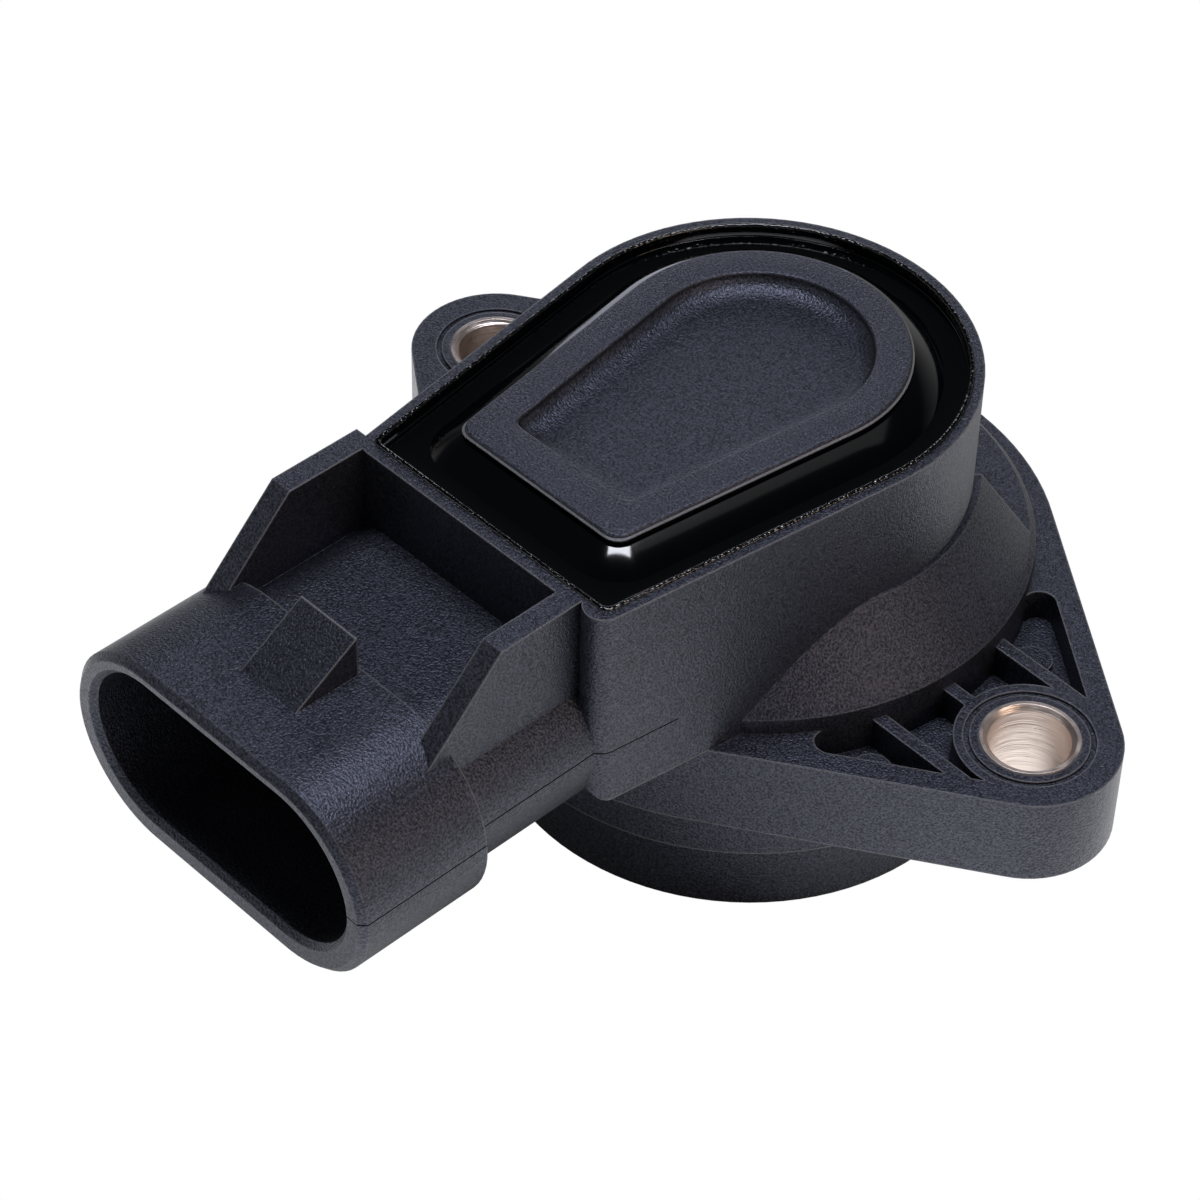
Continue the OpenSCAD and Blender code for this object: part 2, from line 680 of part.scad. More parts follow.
// Stamped brush with two groups of fingers, one for each track
module wiper() color(bronze) {
    base_x = -4;
    base_l = 2.6;
    strip_t = 0.3;
    finger_w = 0.32;
    finger_pitch = 0.5;
    rise = track_z - disc_top_z - 0.12;
    base_end = base_x + base_l;
    translate([base_x, track_in_r - track_w / 2, disc_top_z])
        cube([base_l, track_out_r - track_in_r + track_w, strip_t]);
    for (track_r = [track_in_r, track_out_r], i = [-1:1])
        translate([0, track_r + i * finger_pitch + finger_w / 2, disc_top_z])
            rotate([90, 0, 0]) linear_extrude(finger_w)
                polygon([[base_end - 0.5, 0], [base_end, 0], [1.2, rise - strip_t],
                         [1.8, rise - 2 * strip_t], [1.9, rise - strip_t], [1.3, rise], [1, rise],
                         [base_end - 0.2, strip_t], [base_end - 0.5, strip_t]]);
}

// Points of the return spring, from its fixed leg over the coil to its moving leg
spring_low_z = chamber_floor_z + wire_d / 2 + 0.2;
spring_high_z = disc_z - wire_d / 2 - 0.2;
coil_steps = ceil(coil_turns * 24);
coil_end = 360 * coil_turns;
spring_points = concat(
    [for (i = [0:2]) [coil_r, -fixed_leg * (1 - i / 3), spring_low_z]],
    [for (i = [0:coil_steps]) let (a = coil_end * i / coil_steps)
        [coil_r * cos(a), coil_r * sin(a), spring_low_z + (spring_high_z - spring_low_z) * i / coil_steps]],
    [for (i = [1:3]) let (l = moving_leg * i / 3, c = cos(coil_end), s = sin(coil_end))
        [coil_r * c - l * s, coil_r * s + l * c, spring_high_z]]);

// Round wire swept along a list of points
module wire(points, d, sides = 8) {
    last = len(points) - 1;
    rings = [for (i = [0:last]) let (
        t = points[min(i + 1, last)] - points[max(i - 1, 0)],
        u = t / norm(t),
        side = cross(u, [0, 0, 1]) / norm(cross(u, [0, 0, 1])),
        up = cross(side, u))
        for (k = [0:sides - 1]) let (a = 360 * k / sides) points[i] + d / 2 * (cos(a) * side + sin(a) * up)];
    polyhedron(rings, concat(
        [[for (k = [sides - 1:-1:0]) k]],
        [for (i = [0:last - 1], k = [0:sides - 1]) let (m = (k + 1) % sides)
            [i * sides + k, i * sides + m, (i + 1) * sides + m, (i + 1) * sides + k]],
        [[for (k = [0:sides - 1]) last * sides + k]]));
}

module return_spring() color(steel) wire(spring_points, wire_d);

module thrust_washer() color(white_plastic) translate([0, 0, chamber_floor_z]) difference() {
    cylinder(r = shoulder_r - 0.1, h = thrust_t, $fn = round_fn);
    translate([0, 0, -cut]) cylinder(r = hub_r + 0.12, h = thrust_t + 2 * cut, $fn = round_fn);
}

// Cone spring washer that bears on the cover's boss and presses the rotor down
module preload_washer() color(steel) rotate_extrude($fn = small_fn) {
    low = disc_top_z + end_gap;
    high = cover_boss_z;
    inner = pivot_r + preload_seat;
    polygon([[preload_r - preload_seat, low], [preload_r, low], [preload_r, low + preload_t],
             [inner + preload_seat, high], [inner, high], [inner, high - preload_t]]);
}

module hub_seal() color(rubber) translate([0, 0, -collar_drop]) difference() {
    translate([0, 0, 0.1]) cylinder(r = seal_r - 0.05, h = seal_h - 0.1, $fn = round_fn);
    translate([0, 0, -cut]) cylinder(r = seal_r - seal_w, h = seal_h + 2 * cut, $fn = round_fn);
}

housing();
cover();
potting();
bushing(-1);  // bushing_left
bushing(1);  // bushing_right
terminal(-1);  // terminal_supply
terminal(0);  // terminal_signal
terminal(1);  // terminal_ground
contact(-1);  // contact_supply
contact(0);  // contact_signal
contact(1);  // contact_ground
element_board();
rotor();
drive_insert();
wiper();
return_spring();
thrust_washer();
preload_washer();
hub_seal();
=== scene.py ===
"""Looks of a throttle position sensor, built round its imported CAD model."""
import math

import bmesh
import bpy
from mathutils import Matrix, Vector


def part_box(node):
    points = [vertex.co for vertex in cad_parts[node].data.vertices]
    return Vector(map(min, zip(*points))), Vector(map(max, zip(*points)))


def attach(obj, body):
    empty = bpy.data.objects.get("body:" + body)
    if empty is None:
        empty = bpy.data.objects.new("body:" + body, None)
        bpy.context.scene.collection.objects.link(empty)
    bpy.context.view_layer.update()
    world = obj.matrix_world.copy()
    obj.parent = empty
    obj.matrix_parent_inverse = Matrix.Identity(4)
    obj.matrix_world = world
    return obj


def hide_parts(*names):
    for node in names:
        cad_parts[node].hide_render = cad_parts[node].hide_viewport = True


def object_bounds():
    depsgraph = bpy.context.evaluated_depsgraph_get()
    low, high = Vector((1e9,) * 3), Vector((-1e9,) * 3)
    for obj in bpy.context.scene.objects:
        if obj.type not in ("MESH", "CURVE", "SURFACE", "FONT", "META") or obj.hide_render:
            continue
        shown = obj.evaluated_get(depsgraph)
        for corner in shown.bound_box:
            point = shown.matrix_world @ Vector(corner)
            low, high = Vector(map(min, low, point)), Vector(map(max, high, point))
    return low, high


bl_info = {
    "name": "Throttle Position Sensor",
    "version": (1, 0, 0),
    "blender": (4, 5, 0),
    "location": "View3D > Sidebar > Sensor",
    "description": "Finishes the housing, cover, sealant, sleeves and inner parts of the sensor",
    "category": "Object",
}

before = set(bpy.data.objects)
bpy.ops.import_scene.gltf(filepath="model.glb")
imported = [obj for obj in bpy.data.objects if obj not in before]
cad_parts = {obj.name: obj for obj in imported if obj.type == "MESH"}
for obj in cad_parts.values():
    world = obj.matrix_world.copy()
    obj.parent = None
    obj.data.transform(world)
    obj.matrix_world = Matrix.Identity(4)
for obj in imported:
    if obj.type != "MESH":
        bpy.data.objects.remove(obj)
CAD_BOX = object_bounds()
MM = 0.001
PHOTO_SIDE_PX = 1200

# The body that every piece modelled here rides on
CASE = "case"


def linear(code):
    """An sRGB hex value such as "#3E404B" as a linear colour."""
    parts = [int(code[i:i + 2], 16) / 255 for i in (1, 3, 5)]
    return tuple(c / 12.92 if c <= 0.04045 else ((c + 0.055) / 1.055) ** 2.4 for c in parts)


def colour(name, description, code):
    """A colour that the user can change, from its sRGB hex value."""
    return bpy.props.FloatVectorProperty(name=name, description=description, subtype="COLOR",
                                         size=3, min=0.0, max=1.0, default=linear(code))


def length(name, description, millimetres):
    """A length that the user can change."""
    return bpy.props.FloatProperty(name=name, description=description, unit="LENGTH",
                                   min=0.0, precision=5, default=millimetres * MM)


class SensorSizes(bpy.types.PropertyGroup):
    """Sizes of the forms that are modelled here over the CAD model."""

    case_turn: bpy.props.FloatProperty(name="Case turn", unit="ROTATION", default=math.radians(1.4),
                                       description="Angle of the case to the square of the bolt line")
    back_r: length("Case radius", "Radius of the round back of the case", 14.0)
    back_x: length("Case offset", "Sideways offset of the case from the rotor axis", 0.2)
    back_y: bpy.props.FloatProperty(name="Case setback", unit="LENGTH", default=-0.4 * MM, precision=5,
                                    description="Offset of the round back along Y")
    front: length("Case front", "Distance from the rotor axis to the front of the case", 24.2)
    front_w: length("Case front width", "Width of the case across its front", 21.8)
    corner_r: length("Case corners", "Radius of the front corners of the case", 1.3)
    rim_t: length("Rim", "Thickness of the rim", 0.8)
    rim_front_t: length("Front rim", "Thickness of the rim across the front", 1.0)
    rim_corner_r: length("Rim corners", "Radius of the corners inside the rim", 0.6)
    island_inset: length("Island inset", "Distance from the outside of the case to the island", 4.4)
    island_front: length("Island front", "Distance from the front of the case to the island", 4.75)
    island_corner_r: length("Island corners", "Radius of the front corners of the island", 1.2)
    panel_band: length("Panel band", "Width of the band round the sunken panel", 2.45)
    panel_band_front: length("Front band", "Width of the band in front of the panel", 3.3)
    panel_depth: length("Panel depth", "Depth of the sunken panel", 1.1)
    panel_corner_r: length("Panel corners", "Radius of the front corners of the sunken panel", 0.8)
    island_proud: length("Island height", "Height of the island above the rim", 1.0)
    island_edge_h: length("Island edge", "Height of the upright edge round the island", 0.3)
    groove_w: length("Island groove", "Depth of the groove under the island's edge", 0.3)
    slope_w: length("Slope width", "How far the sealant's slope reaches from the island", 1.9)
    slope_h: length("Slope height", "How high the sealant climbs at the island", 1.1)
    creep_h: length("Creep height", "How much higher the sealant climbs on the island's left", 0.25)
    bead_r: length("Bead", "Radius of the bead of dried sealant on the rim", 0.17)


class SensorColours(bpy.types.PropertyGroup):
    """Colours of the sensor and its surroundings."""

    plastic: colour("Plastic", "Black moulded plastic", "#16171C")
    sealant: colour("Sealant", "Black epoxy", "#020305")
    brass: colour("Sleeves", "Turned brass of the sleeves", "#E4D6CE")
    tin: colour("Blades", "Tinned brass of the blades", "#CFC8B8")
    bronze: colour("Springs", "Bare spring bronze", "#C4946A")
    steel: colour("Steel", "Spring and liner steel", "#BDBEC2")
    board: colour("Board", "Coated element board", "#1F4A36")
    track: colour("Tracks", "Carbon tracks on the board", "#15161A")
    acetal: colour("Washer", "Natural acetal", "#E9E6DC")
    rubber: colour("Seal", "Nitrile rubber", "#161616")
    floor: colour("Floor", "Pale studio floor", "#FFFFFF")


# Materials


def add(tree, kind, inputs=None, **settings):
    """Adds a shader node with its settings, and sets or links its inputs by name or number."""
    made = tree.nodes.new(kind)
    for key, value in settings.items():
        setattr(made, key, value)
    for key, value in (inputs or {}).items():
        if isinstance(value, bpy.types.NodeSocket):
            tree.links.new(value, made.inputs[key])
        else:
            made.inputs[key].default_value = value
    return made


def rgba(c):
    return (*c, 1.0)


def new_material(name):
    """An empty node material, and its tree."""
    made = bpy.data.materials.new(name)
    made.use_nodes = True
    made.node_tree.nodes.clear()
    return made, made.node_tree


def finish_material(tree, inputs):
    """Adds the surface shader and the output."""
    shader = add(tree, "ShaderNodeBsdfPrincipled", inputs)
    add(tree, "ShaderNodeOutputMaterial", {"Surface": shader.outputs[0]})


def ramp(tree, factor, stops):
    """A colour ramp over the factor; stops are (position, grey or colour) pairs."""
    made = add(tree, "ShaderNodeValToRGB", {0: factor})
    points = made.color_ramp.elements
    while len(points) < len(stops):
        points.new(0.5)
    for point, (position, value) in zip(points, stops):
        point.position = position
        point.color = rgba(value if isinstance(value, tuple) else (value,) * 3)
    return made.outputs[0]


def noise(tree, place, size_mm, detail=2.0, roughness=0.5):
    """Noise whose grains are about size_mm across."""
    return add(tree, "ShaderNodeTexNoise", {"Vector": place, "Scale": 1 / (size_mm * MM), "Detail": detail,
                                            "Roughness": roughness}).outputs[0]


def seam_line(tree, place, parting_mm):
    """The seam between the mould halves, a fine dark line along the right side of the plug and neck."""
    core_mm, edge_mm, front_mm = 0.03, 0.07, -18.0
    side, depth, height = add(tree, "ShaderNodeSeparateXYZ", {0: place}).outputs
    off = add(tree, "ShaderNodeMath", {0: height, 1: parting_mm * MM}, operation="SUBTRACT").outputs[0]
    off = add(tree, "ShaderNodeMath", {0: off}, operation="ABSOLUTE").outputs[0]
    front = add(tree, "ShaderNodeMath", {0: depth, 1: front_mm * MM}, operation="LESS_THAN").outputs[0]
    right = add(tree, "ShaderNodeMath", {0: side, 1: 0.0}, operation="GREATER_THAN").outputs[0]
    shown = add(tree, "ShaderNodeMath", {0: front, 1: right}, operation="MULTIPLY").outputs[0]
    return add(tree, "ShaderNodeMapRange", {0: off, 1: core_mm * MM, 2: edge_mm * MM, 3: shown,
                                            4: 0.0}).outputs[0]


def moulded_plastic(name, base, grain_mm, edge_mm, parting_mm=None):
    """Glass filled nylon, injection moulded in a spark eroded cavity: a black with a soft slate sheen,
    a fine even grain, and single glass ends that sparkle. parting_mm is the height of a seam line."""
    speck_mm, edge_highlight_mm, cloud_mm = 0.55, 0.14, 6.0
    made, tree = new_material(name)
    place = add(tree, "ShaderNodeTexCoord").outputs["Object"]
    # The grain of such a cavity is about 0.05 mm, drawn coarser so that it shows
    grain = noise(tree, place, grain_mm)
    cloud = noise(tree, place, cloud_mm, 3.0)
    # Glass ends are about 0.02 mm wide, drawn at about 0.15 mm so that they show
    specks = add(tree, "ShaderNodeTexVoronoi", {"Vector": place,
                                                "Scale": 1 / (speck_mm * MM)}).outputs["Distance"]
    sparkle = ramp(tree, specks, [(0.0, 1.0), (0.10, 0.9), (0.16, 0.0)])
    mottle = ramp(tree, grain, [(0.35, 0.35), (0.65, 1.65)])
    tint = add(tree, "ShaderNodeVectorMath", {0: base, 1: mottle}, operation="MULTIPLY").outputs[0]
    tint = add(tree, "ShaderNodeMix", {0: sparkle, 6: tint, 7: rgba([c * 3.5 + 0.01 for c in base])},
               data_type="RGBA").outputs[2]
    # Painted highlight: sharp outer edges are painted paler, where the inside of the wall is close
    near = add(tree, "ShaderNodeAmbientOcclusion", {"Distance": edge_highlight_mm * MM}, inside=True,
               only_local=True, samples=6).outputs["AO"]
    edge_highlight = ramp(tree, near, [(0.55, 1.0), (0.92, 0.0)])
    tint = add(tree, "ShaderNodeMix", {0: edge_highlight, 6: tint, 7: rgba([c + 0.11 for c in base])},
               data_type="RGBA").outputs[2]
    sheen = ramp(tree, grain, [(0.35, 0.35), (0.65, 0.9)])
    if parting_mm:
        seam = seam_line(tree, place, parting_mm)
        tint = add(tree, "ShaderNodeMix", {0: seam, 6: tint, 7: (0, 0, 0, 1)}, data_type="RGBA").outputs[2]
        open_part = add(tree, "ShaderNodeMath", {0: 1.0, 1: seam}, operation="SUBTRACT").outputs[0]
        sheen = add(tree, "ShaderNodeMath", {0: sheen, 1: open_part}, operation="MULTIPLY").outputs[0]
    gloss = ramp(tree, cloud, [(0.3, 0.46), (0.7, 0.39)])
    soft = add(tree, "ShaderNodeBevel", {"Radius": edge_mm * MM}, samples=6).outputs[0]
    bump = add(tree, "ShaderNodeBump", {"Height": grain, "Strength": 1.0, "Distance": 0.06 * MM,
                                        "Normal": soft}).outputs[0]
    finish_material(tree, {"Base Color": tint, "Roughness": gloss, "IOR": 1.5, "Specular IOR Level": sheen,
                           "Specular Tint": rgba((0.70, 0.75, 1.0)), "Normal": bump})
    return made


def wet_epoxy(name, base, ripple, ripple_mm=5.0):
    """Potting epoxy, poured and cured: a deep black that mirrors lamps sharply, softer where it climbs.
    ripple is the height of its waves as a share of ripple_mm, their width."""
    made, tree = new_material(name)
    place = add(tree, "ShaderNodeTexCoord").outputs["Object"]
    swell = noise(tree, place, ripple_mm, 1.0)
    height = add(tree, "ShaderNodeSeparateXYZ", {0: place}).outputs[2]
    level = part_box("potting")[1][2]
    gloss = add(tree, "ShaderNodeMapRange", {0: height, 1: level + 0.1 * MM, 2: level + 0.5 * MM,
                                             3: 0.08, 4: 0.11}).outputs[0]
    bump = add(tree, "ShaderNodeBump", {"Height": swell, "Strength": 0.6,
                                        "Distance": ripple * ripple_mm * MM}).outputs[0]
    finish_material(tree, {"Base Color": rgba(base), "Roughness": gloss, "IOR": 1.58, "Normal": bump})
    return made


def turned_metal(name, base, roughness, ring_mm, strength, blotch=0.25):
    """Metal turned on a lathe about Z: fine rings that stretch the highlights, and slight staining."""
    made, tree = new_material(name)
    place = add(tree, "ShaderNodeTexCoord").outputs["Object"]
    stain = noise(tree, place, 1.2, 3.0)
    # The tool's rings are about 0.1 mm apart, drawn wider where they have to show
    flat = add(tree, "ShaderNodeMapping", {"Vector": place, "Scale": (0.02, 0.02, 1.0)}).outputs[0]
    rings = noise(tree, flat, ring_mm, 3.0, 0.7)
    tint = add(tree, "ShaderNodeMix", {0: stain, 6: rgba([c * (1 - blotch) for c in base]), 7: rgba(base)},
               data_type="RGBA").outputs[2]
    gloss = ramp(tree, stain, [(0.3, roughness * 0.75), (0.7, roughness * 1.25)])
    soft = add(tree, "ShaderNodeBevel", {"Radius": 0.08 * MM}, samples=4).outputs[0]
    bump = add(tree, "ShaderNodeBump", {"Height": rings, "Strength": strength, "Distance": 0.1 * MM,
                                        "Normal": soft}).outputs[0]
    finish_material(tree, {"Base Color": tint, "Metallic": 1.0, "Roughness": gloss, "Normal": bump})
    return made


def strip_metal(name, base, roughness):
    """Rolled and stamped strip: long fine scratches along the strip and a slightly cloudy plating."""
    made, tree = new_material(name)
    place = add(tree, "ShaderNodeTexCoord").outputs["Object"]
    # Rolling scratches are finer than 0.02 mm, drawn at 0.08 mm so that they show
    along = add(tree, "ShaderNodeMapping", {"Vector": place, "Scale": (1.0, 0.05, 1.0)}).outputs[0]
    scratches = noise(tree, along, 0.08, 2.0)
    cloud = noise(tree, place, 1.5, 2.0)
    tint = add(tree, "ShaderNodeMix", {0: cloud, 6: rgba([c * 0.75 for c in base]), 7: rgba(base)},
               data_type="RGBA").outputs[2]
    soft = add(tree, "ShaderNodeBevel", {"Radius": 0.06 * MM}, samples=4).outputs[0]
    bump = add(tree, "ShaderNodeBump", {"Height": scratches, "Strength": 0.3, "Distance": 0.01 * MM,
                                        "Normal": soft}).outputs[0]
    gloss = ramp(tree, cloud, [(0.3, roughness * 0.8), (0.7, roughness * 1.2)])
    finish_material(tree, {"Base Color": tint, "Metallic": 1.0, "Roughness": gloss, "Normal": bump})
    return made


def coated_board(name, base, track):
    """Coated laminate with screen printed carbon tracks: satin green, the tracks matt and nearly black."""
    made, tree = new_material(name)
    place = add(tree, "ShaderNodeTexCoord").outputs["Object"]
    height = add(tree, "ShaderNodeSeparateXYZ", {0: place}).outputs[2]
    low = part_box("element_board")[0][2]
    printed = add(tree, "ShaderNodeMath", {0: height, 1: low + 0.05 * MM}, operation="LESS_THAN").outputs[0]
    cloth = noise(tree, place, 0.5, 2.0)
    tint = add(tree, "ShaderNodeMix", {0: cloth, 6: rgba([c * 0.8 for c in base]), 7: rgba(base)},
               data_type="RGBA").outputs[2]
    tint = add(tree, "ShaderNodeMix", {0: printed, 6: tint, 7: rgba(track)}, data_type="RGBA").outputs[2]
    gloss = add(tree, "ShaderNodeMix", {0: printed, 2: 0.35, 3: 0.6}).outputs[0]
    finish_material(tree, {"Base Color": tint, "Roughness": gloss, "IOR": 1.5})
    return made


def soft_solid(name, base, roughness, grain_mm, strength):
    """Natural acetal or nitrile rubber: one even colour, broken by a fine grain."""
    made, tree = new_material(name)
    place = add(tree, "ShaderNodeTexCoord").outputs["Object"]
    grain = noise(tree, place, grain_mm)
    tint = add(tree, "ShaderNodeMix", {0: grain, 6: rgba([c * 0.85 for c in base]), 7: rgba(base)},
               data_type="RGBA").outputs[2]
    bump = add(tree, "ShaderNodeBump", {"Height": grain, "Strength": strength,
                                        "Distance": 0.02 * MM}).outputs[0]
    finish_material(tree, {"Base Color": tint, "Roughness": roughness, "IOR": 1.48, "Normal": bump})
    return made


def dress(node, material):
    """Gives a CAD node its finish, and leaves its shape as it is."""
    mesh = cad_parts[node].data
    mesh.materials.clear()
    mesh.materials.append(material)


# Shapes


def arc(x, y, r, start, end, count):
    """Points on an arc between two angles in radians, the last one left out."""
    return [(x + r * math.cos(a), y + r * math.sin(a))
            for a in (start + (end - start) * i / count for i in range(count))]


def line(a, b, count):
    """Points on a straight line from a to b, the last one left out."""
    return [(a[0] + (b[0] - a[0]) * i / count, a[1] + (b[1] - a[1]) * i / count) for i in range(count)]


def smooth_step(value, start, end):
    """Goes softly from 0 at start to 1 at end."""
    t = min(max((value - start) / (end - start), 0), 1)
    return t * t * (3 - 2 * t)


def case_outline(sizes, inset, front_inset, corner):
    """The round backed, tapering outline of the case, moved inwards, always with as many points."""
    cx = sizes.front_w / 2 - sizes.corner_r
    cy = -sizes.front - sizes.back_y + sizes.corner_r
    normal = math.atan2(cy, cx) + math.acos((sizes.back_r - sizes.corner_r) / math.hypot(cx, cy))
    c, s = math.cos(normal), math.sin(normal)
    r = sizes.back_r - inset
    y = -sizes.front - sizes.back_y + front_inset + corner
    x = (r - corner - s * y) / c
    right, left = (r * c, r * s), (-r * c, r * s)
    back_points, side_points, corner_points, front_points = 72, 18, 8, 14
    points = arc(0, 0, r, normal, math.pi - normal, back_points)
    points += line(left, (-x - corner * c, y + corner * s), side_points)
    points += arc(-x, y, corner, math.pi - normal, 1.5 * math.pi, corner_points)
    points += line((-x, y - corner), (x, y - corner), front_points)
    points += arc(x, y, corner, 1.5 * math.pi, 2 * math.pi + normal, corner_points)
    points += line((x + corner * c, y + corner * s), right, side_points)
    return [(px + sizes.back_x, py + sizes.back_y) for px, py in points]


def stack(bm, sizes, rows):
    """Draws the case outline for the first row and extrudes it from row to row. Each row is inset, front
    inset, corner radius and height, or what gives the height at a point. Gives the edges of the first
    and the last row."""
    count = len(case_outline(sizes, *rows[0][:3]))
    ring = bmesh.ops.create_circle(bm, segments=count, radius=1.0)["verts"]
    edges = first = list(bm.edges)
    for number, (inset, front_inset, corner, z) in enumerate(rows):
        if number:
            made = bmesh.ops.extrude_edge_only(bm, edges=edges)["geom"]
            # The new corners lie on the old ones, which tells their order
            place = {v.co.to_tuple(): i for i, v in enumerate(ring)}
            ring = sorted((g for g in made if isinstance(g, bmesh.types.BMVert)),
                          key=lambda v: place[v.co.to_tuple()])
            new = set(ring)
            edges = [g for g in made if isinstance(g, bmesh.types.BMEdge) and new.issuperset(g.verts)]
        for vert, (x, y) in zip(ring, case_outline(sizes, inset, front_inset, corner)):
            vert.co = (x, y, z(x, y) if callable(z) else z)
    return first, edges


def curve_between(start, end, turn, count):
    """Offsets and heights along a quarter of an ellipse from start to end. turn "in" leaves start along
    the height, and turn "out" leaves it along the inset."""
    (a, za), (b, zb) = start, end
    steps = [math.pi / 2 * i / count for i in range(count + 1)]
    if turn == "in":
        return [(b + (a - b) * math.cos(t), za + (zb - za) * math.sin(t)) for t in steps]
    return [(a + (b - a) * math.sin(t), zb + (za - zb) * math.cos(t)) for t in steps]


def make_object(name, bm, material, body, node=None, smooth=math.radians(35)):
    """Turns a finished bmesh into a piece that rides on a body and may stand for a CAD node."""
    turn = Matrix.Rotation(bpy.context.scene.sensor_sizes.case_turn, 3, "Z")
    bmesh.ops.rotate(bm, verts=bm.verts, cent=(0, 0, 0), matrix=turn)
    bmesh.ops.remove_doubles(bm, verts=bm.verts, dist=0.001 * MM)
    bmesh.ops.recalc_face_normals(bm, faces=bm.faces)
    mesh = bpy.data.meshes.new(name)
    bm.to_mesh(mesh)
    bm.free()
    mesh.materials.append(material)
    mesh.polygons.foreach_set("use_smooth", [True] * len(mesh.polygons))
    mesh.set_sharp_from_angle(angle=smooth)
    piece = bpy.data.objects.new(name, mesh)
    bpy.context.scene.collection.objects.link(piece)
    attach(piece, body)
    if node:
        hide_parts(node)


# Operators


class SENSOR_OT_housing(bpy.types.Operator):
    """Finish the housing in moulded plastic"""

    bl_idname = "sensor.housing"
    bl_label = "Housing"

    def execute(self, context):
        colours = context.scene.sensor_colours
        dress("housing", moulded_plastic("glass_filled_nylon", colours.plastic, grain_mm=0.15,
                                         edge_mm=0.12, parting_mm=10.55))
        return {"FINISHED"}


class SENSOR_OT_cover(bpy.types.Operator):
    """Model the cover with its rounded island and sunken panel"""

    bl_idname = "sensor.cover"
    bl_label = "Cover"

    def execute(self, context):
        scene = context.scene
        sizes = scene.sensor_sizes
        plate_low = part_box("element_board")[1][2]
        plate_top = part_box("potting")[0][2]
        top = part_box("cover")[1][2]
        inset, corner = sizes.island_inset, sizes.island_corner_r
        ahead = sizes.island_front - inset
        clearance, step = 0.1 * MM, 0.02 * MM
        edge = (sizes.rim_t + clearance, sizes.rim_front_t + clearance, sizes.rim_corner_r - clearance)
        rows = [(*edge, plate_low), (*edge, plate_top)]
        # The upright foot of the island, the groove under its edge and the rounded edge itself
        under = top - sizes.island_edge_h
        groove, groove_corner = inset + sizes.groove_w, corner - sizes.groove_w * 0.5
        rows += [(groove, groove + ahead, groove_corner, z) for z in (plate_top, under - step)]
        rows += [(inset, inset + ahead, corner, under)]
        round_r, draft = 0.2 * MM, 0.14 * MM
        rows += [(a + draft, a + draft + ahead, corner - (a - inset) * 0.5, z)
                 for a, z in curve_between((inset, top - round_r), (inset + round_r, top), "in", 6)]
        # The lip of the panel, and its floor that sweeps up to the foot of its low wall
        band, front = inset + sizes.panel_band, inset + sizes.panel_band_front
        floor = top - sizes.panel_depth
        lip, sweep_w, sweep_h = 0.15 * MM, 1.6 * MM, 0.8 * MM
        panel = curve_between((-lip, top), (0, top - lip), "out", 5)
        panel += curve_between((0, floor + sweep_h), (sweep_w, floor), "in", 8)
        rows += [(band + a, front + a, sizes.panel_corner_r, z) for a, z in panel]
        bm = bmesh.new()
        bottom, floor_edges = stack(bm, sizes, rows)
        bmesh.ops.holes_fill(bm, edges=bottom + floor_edges)
        material = moulded_plastic("glass_filled_nylon_cover", scene.sensor_colours.plastic,
                                   grain_mm=0.15, edge_mm=0.05)
        make_object("cover_moulding", bm, material, CASE, "cover")
        return {"FINISHED"}


